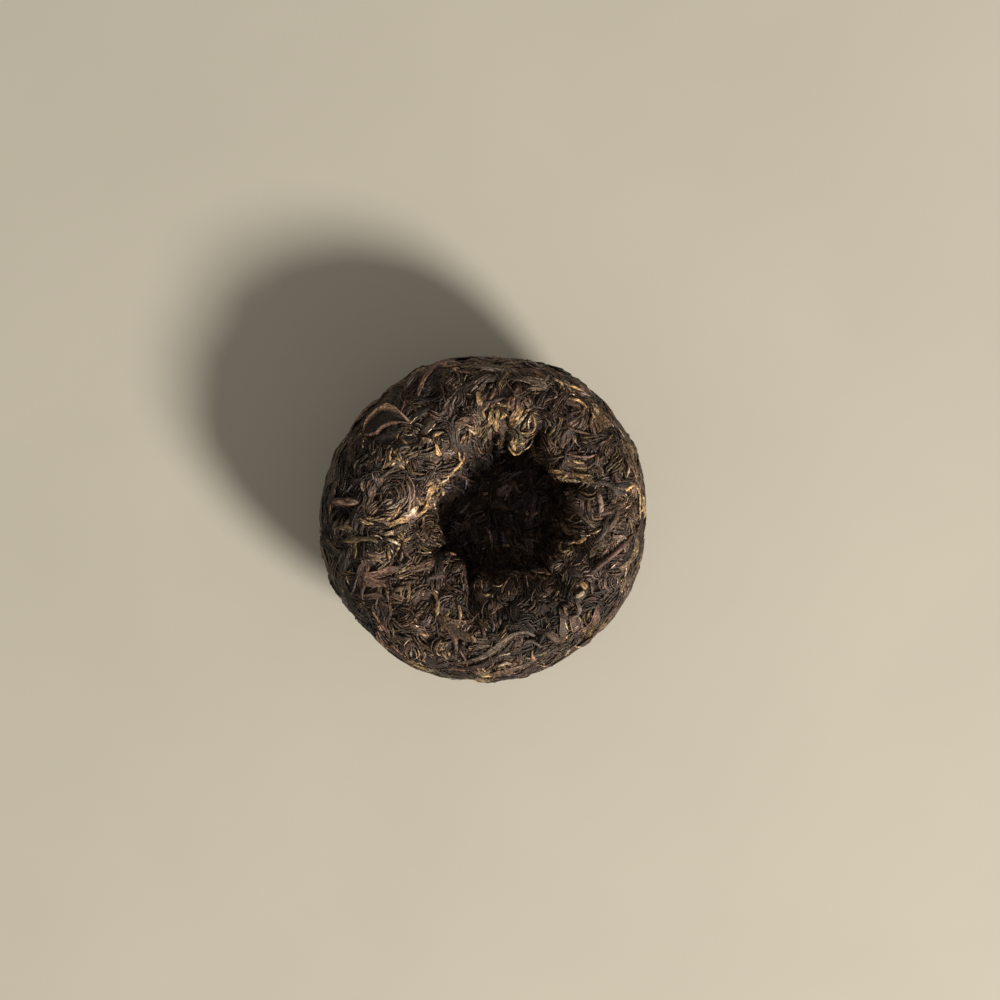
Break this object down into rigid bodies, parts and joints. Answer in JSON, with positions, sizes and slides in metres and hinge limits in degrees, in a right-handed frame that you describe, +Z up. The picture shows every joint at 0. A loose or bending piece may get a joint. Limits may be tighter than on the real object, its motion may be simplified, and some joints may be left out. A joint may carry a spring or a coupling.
{
  "type": "pu-erh tuocha",
  "caption": "Bowl-shaped nest of pressed dark tea leaves, rounded underneath, with a deep round hollow in its top.",
  "frame": {"origin": "centre of the outline seen from above, on the surface that the nest rests on", "axes": "+Z up, out of the hollow; seen from above, +X to the right and +Y up the picture"},
  "size_m": [0.0816, 0.0808, 0.0451],
  "materials": {
    "pressed_leaf": "dry twisted leaves with a dull sheen, dark brown with golden tips"
  },
  "bodies": {
    "root": {"tea_nest": "pressed_leaf"}
  },
  "joints": []
}
